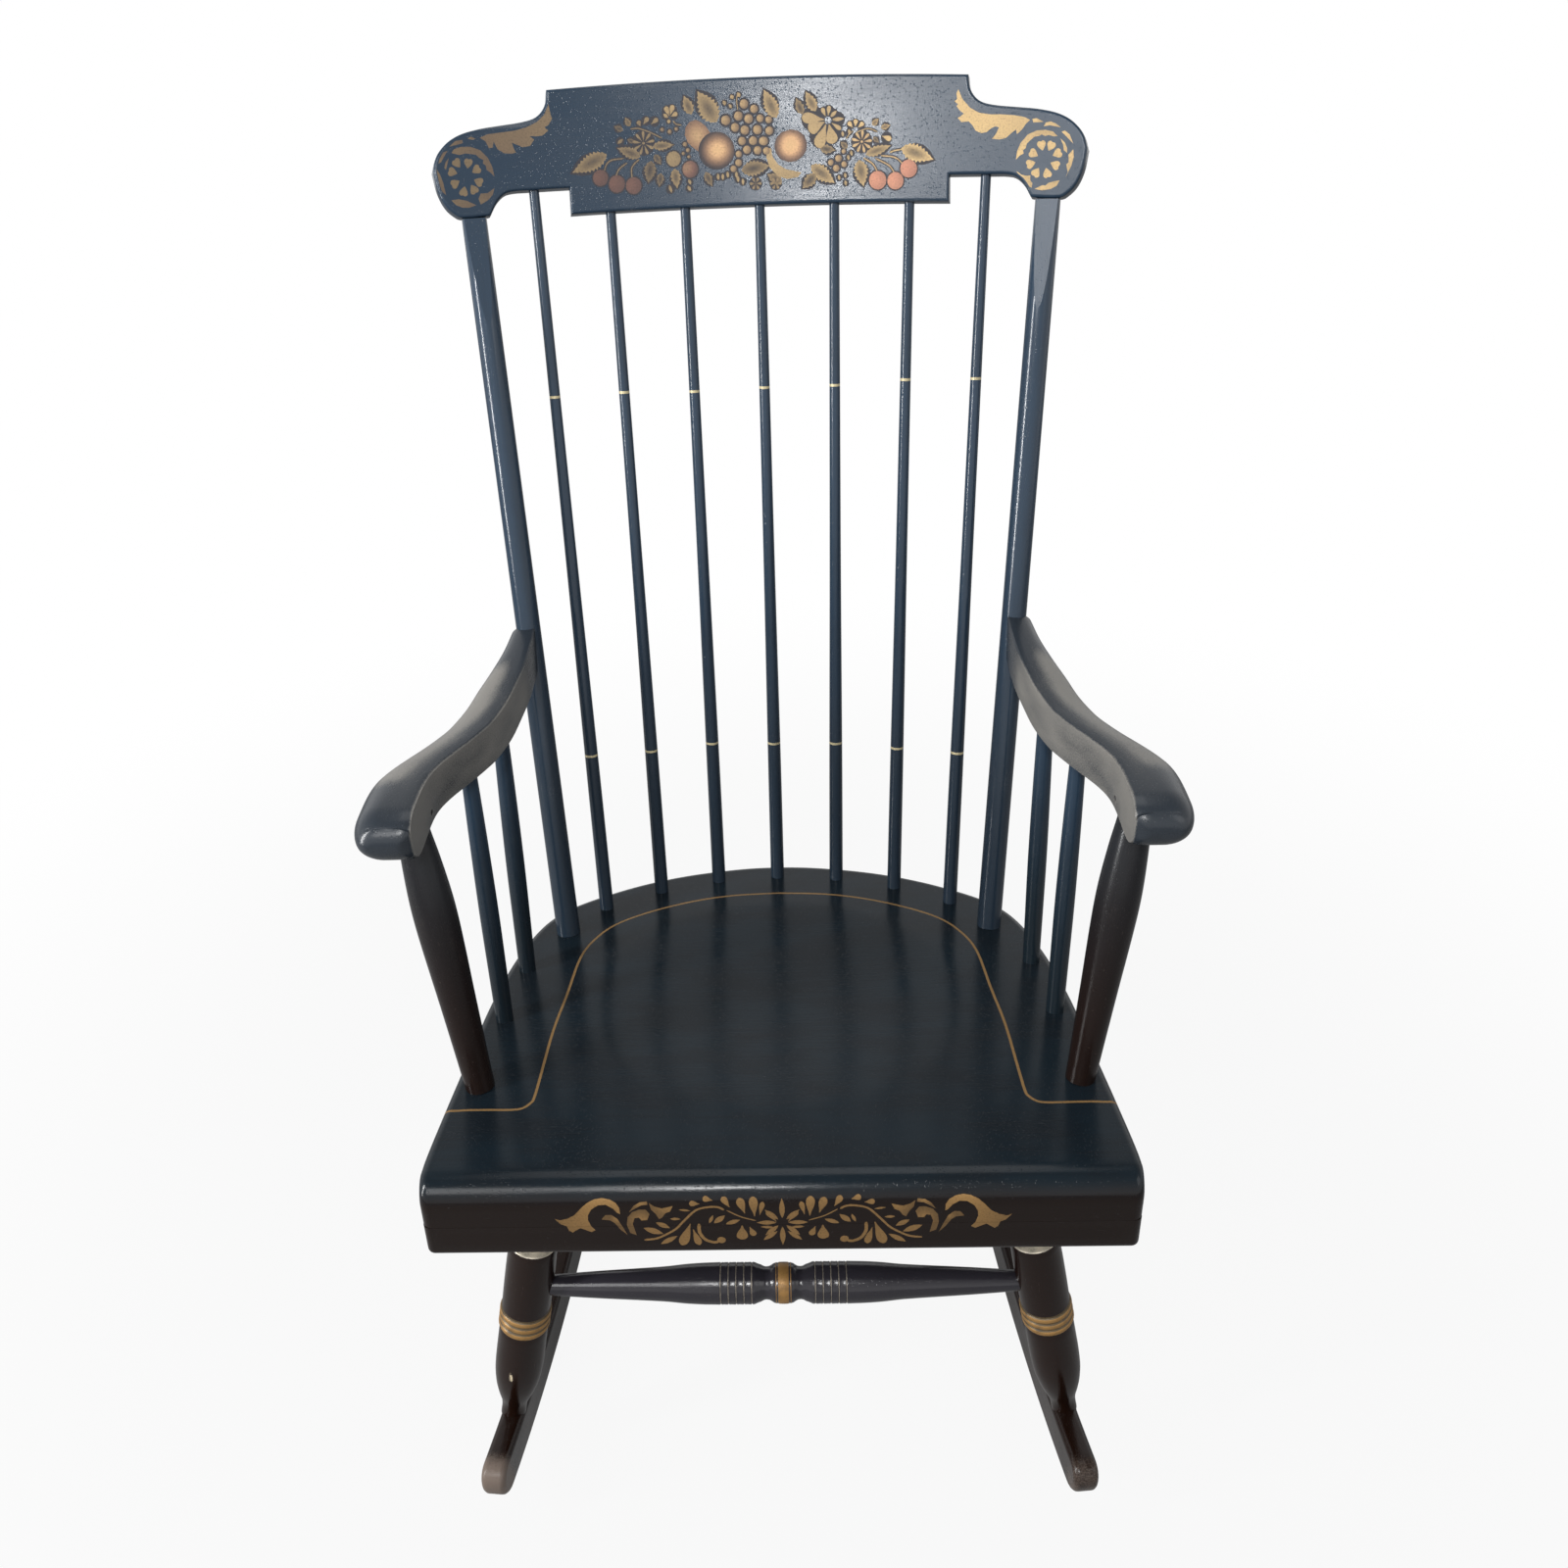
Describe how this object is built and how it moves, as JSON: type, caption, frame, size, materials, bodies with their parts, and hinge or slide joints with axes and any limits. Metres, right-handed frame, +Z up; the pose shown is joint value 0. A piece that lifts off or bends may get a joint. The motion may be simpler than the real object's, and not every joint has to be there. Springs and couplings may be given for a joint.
{
  "type": "rocking chair",
  "caption": "Rocking chair with a bent crest rail, turned back spindles, scrolled arms on posts, a shaped seat and wooden rockers.",
  "frame": {"origin": "on the floor, under the middle of the bounding box", "axes": "+X to the right of someone facing the front of the chair, +Y towards the back, +Z up"},
  "size_m": [0.614, 0.6952, 1.1112],
  "materials": {
    "upper_paint": "semi-gloss blue-black paint",
    "seat_paint": "semi-gloss black paint",
    "lower_paint": "semi-gloss brown-black paint",
    "steel": "dull",
    "bare_wood": "unpainted"
  },
  "bodies": {
    "root": {"crest_rail": "upper_paint", "stile_left": "upper_paint", "stile_right": "upper_paint", "arm_left": "upper_paint", "arm_right": "upper_paint", "arm_post_left": "upper_paint", "arm_post_right": "upper_paint", "front_arm_spindle_left": "upper_paint", "front_arm_spindle_right": "upper_paint", "rear_arm_spindle_left": "upper_paint", "rear_arm_spindle_right": "upper_paint", "back_spindle_1": "upper_paint", "back_spindle_2": "upper_paint", "back_spindle_3": "upper_paint", "back_spindle_4": "upper_paint", "back_spindle_5": "upper_paint", "back_spindle_6": "upper_paint", "back_spindle_7": "upper_paint", "seat": "seat_paint", "seat_front_roll": "seat_paint", "front_leg_left": "lower_paint", "front_leg_right": "lower_paint", "back_leg_left": "lower_paint", "back_leg_right": "lower_paint", "front_stretcher": "lower_paint", "back_stretcher": "lower_paint", "side_stretcher_left": "lower_paint", "side_stretcher_right": "lower_paint", "rocker_left": "lower_paint", "rocker_right": "lower_paint", "arm_post_pin_left": "steel", "arm_post_pin_right": "steel", "arm_dowel_left": "bare_wood", "arm_dowel_right": "bare_wood", "front_rocker_pin_left": "bare_wood", "front_rocker_pin_right": "bare_wood", "back_rocker_pin_left": "bare_wood", "back_rocker_pin_right": "bare_wood"}
  },
  "joints": []
}
